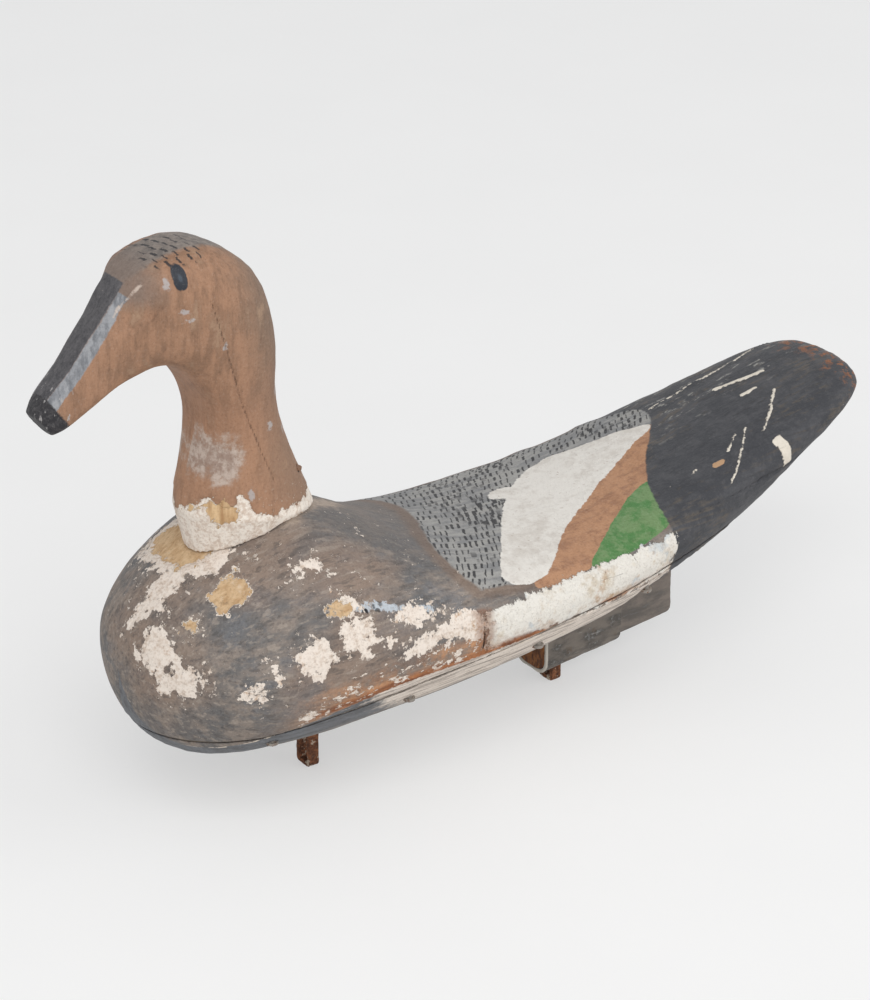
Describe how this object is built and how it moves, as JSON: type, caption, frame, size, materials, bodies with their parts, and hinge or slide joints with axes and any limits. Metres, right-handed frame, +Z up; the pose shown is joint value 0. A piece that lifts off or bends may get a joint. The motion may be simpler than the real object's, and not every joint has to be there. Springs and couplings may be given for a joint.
{
  "type": "duck decoy",
  "caption": "Hollow carved wooden duck decoy with raised head, lead-shod keel and mooring staples, painted as a drake with chestnut head.",
  "frame": {"origin": "on the surface the decoy stands on, under the middle of its overall length", "axes": "+X from the bill towards the tail, +Y to the duck's right-hand side, +Z up"},
  "size_m": [0.416, 0.1242, 0.2547],
  "materials": {
    "body_paint": "worn matt oil paint over gesso and wood",
    "board_paint": "worn blue-grey and white paint",
    "head_paint": "worn chestnut paint",
    "bare_wood": "bare pine",
    "gesso": "chalky filler",
    "lead": "dull painted lead sheet",
    "rusty_iron": "rusted iron"
  },
  "bodies": {
    "root": {"board_nail_left_1": "rusty_iron", "board_nail_left_2": "rusty_iron", "board_nail_left_3": "rusty_iron", "board_nail_left_4": "rusty_iron", "board_nail_right_1": "rusty_iron", "board_nail_right_2": "rusty_iron", "board_nail_right_3": "rusty_iron", "board_nail_right_4": "rusty_iron", "body_shell": "body_paint", "bottom_board": "board_paint", "front_staple": "rusty_iron", "head_and_neck": "head_paint", "keel_bar": "board_paint", "keel_screw_1": "rusty_iron", "keel_screw_2": "rusty_iron", "keel_sheath": "lead", "keel_tack_left_1": "rusty_iron", "keel_tack_left_2": "rusty_iron", "keel_tack_left_3": "rusty_iron", "keel_tack_right_1": "rusty_iron", "keel_tack_right_2": "rusty_iron", "keel_tack_right_3": "rusty_iron", "neck_dowel": "bare_wood", "neck_nail_left": "rusty_iron", "neck_nail_right": "rusty_iron", "neck_putty": "gesso", "rear_staple": "rusty_iron", "seam_putty": "gesso"}
  },
  "joints": []
}
